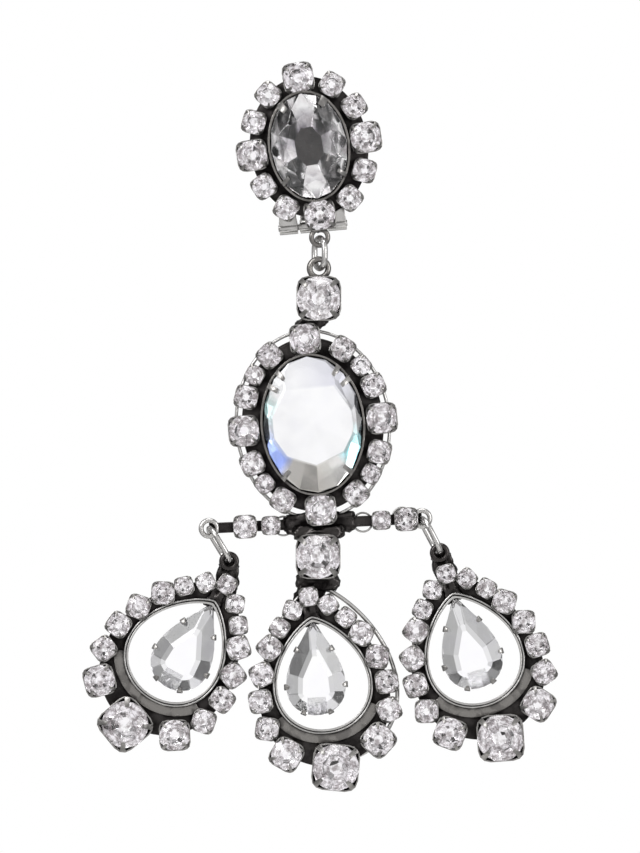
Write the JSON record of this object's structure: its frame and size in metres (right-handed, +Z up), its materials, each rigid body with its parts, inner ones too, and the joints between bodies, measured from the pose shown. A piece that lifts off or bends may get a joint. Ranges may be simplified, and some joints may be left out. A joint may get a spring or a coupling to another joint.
{
  "type": "chandelier earring",
  "caption": "Clip-on chandelier earring: oval crystal cluster, oval medallion over a crossbar and three pear-shaped drops, oxidised silver-coloured metal set with clear faceted stones",
  "frame": {"origin": "middle of the gap for the ear lobe, behind the centre of the oval ear cluster", "axes": "+X to the right of someone facing the wearer, -Y out towards that person, +Z up"},
  "size_m": [0.0625, 0.0112, 0.0963],
  "materials": {
    "oxidised_silver": "antiqued silver plate: bright on the edges and claws, near black in the recesses",
    "clear_crystal": "clear faceted glass, silver foil behind it in the closed cups"
  },
  "bodies": {
    "stud": {"stud_frame": "oxidised_silver", "stud_oval_stone": "clear_crystal", "stud_stone_top": "clear_crystal", "stud_stone_right": "clear_crystal", "stud_stone_bottom": "clear_crystal", "stud_stone_left": "clear_crystal"},
    "clip_lever": {"clip_lever": "oxidised_silver"},
    "link_ring": {"link_ring": "oxidised_silver"},
    "pendant": {"pendant_frame": "oxidised_silver", "upper_connector_stone": "clear_crystal", "lower_connector_stone": "clear_crystal", "medallion_oval_stone": "clear_crystal", "medallion_stone_top": "clear_crystal", "medallion_stone_right": "clear_crystal", "medallion_stone_bottom": "clear_crystal", "medallion_stone_left": "clear_crystal", "centre_pear_stone": "clear_crystal", "centre_drop_stone_big": "clear_crystal", "centre_drop_stone_a": "clear_crystal", "centre_drop_stone_b": "clear_crystal"},
    "left_ring": {"left_ring": "oxidised_silver"},
    "left_drop": {"left_drop_frame": "oxidised_silver", "left_pear_stone": "clear_crystal", "left_drop_stone_big": "clear_crystal", "left_drop_stone_a": "clear_crystal", "left_drop_stone_b": "clear_crystal"},
    "right_ring": {"right_ring": "oxidised_silver"},
    "right_drop": {"right_drop_frame": "oxidised_silver", "right_pear_stone": "clear_crystal", "right_drop_stone_big": "clear_crystal", "right_drop_stone_a": "clear_crystal", "right_drop_stone_b": "clear_crystal"}
  },
  "joints": [
    {"name": "clip_hinge", "type": "hinge", "parent": "stud", "child": "clip_lever", "pos_m": [0.0005, -0.001, -0.0104], "axis": [-0.9962, 0, -0.0872], "range_deg": [0, 70]},
    {"name": "link_swing", "type": "hinge", "parent": "stud", "child": "link_ring", "pos_m": [0.0014, -0.0039, -0.0121], "axis": [1, 0, 0], "range_deg": [-20, 20]},
    {"name": "pendant_swing", "type": "hinge", "parent": "link_ring", "child": "pendant", "pos_m": [0.0014, -0.0039, -0.0161], "axis": [0, 1, 0], "range_deg": [-25, 25]},
    {"name": "left_ring_swing", "type": "hinge", "parent": "pendant", "child": "left_ring", "pos_m": [-0.0132, -0.0039, -0.0504], "axis": [0.8545, 0, 0.5195], "range_deg": [-20, 20]},
    {"name": "left_drop_swing", "type": "hinge", "parent": "left_ring", "child": "left_drop", "pos_m": [-0.01055, -0.0039, -0.05476], "axis": [0, 1, 0], "range_deg": [0, 40]},
    {"name": "right_ring_swing", "type": "hinge", "parent": "pendant", "child": "right_ring", "pos_m": [0.0149, -0.0039, -0.0491], "axis": [0.8878, 0, 0.4602], "range_deg": [-20, 20]},
    {"name": "right_drop_swing", "type": "hinge", "parent": "right_ring", "child": "right_drop", "pos_m": [0.01725, -0.0039, -0.05363], "axis": [0, -1, 0], "range_deg": [0, 40]}
  ]
}
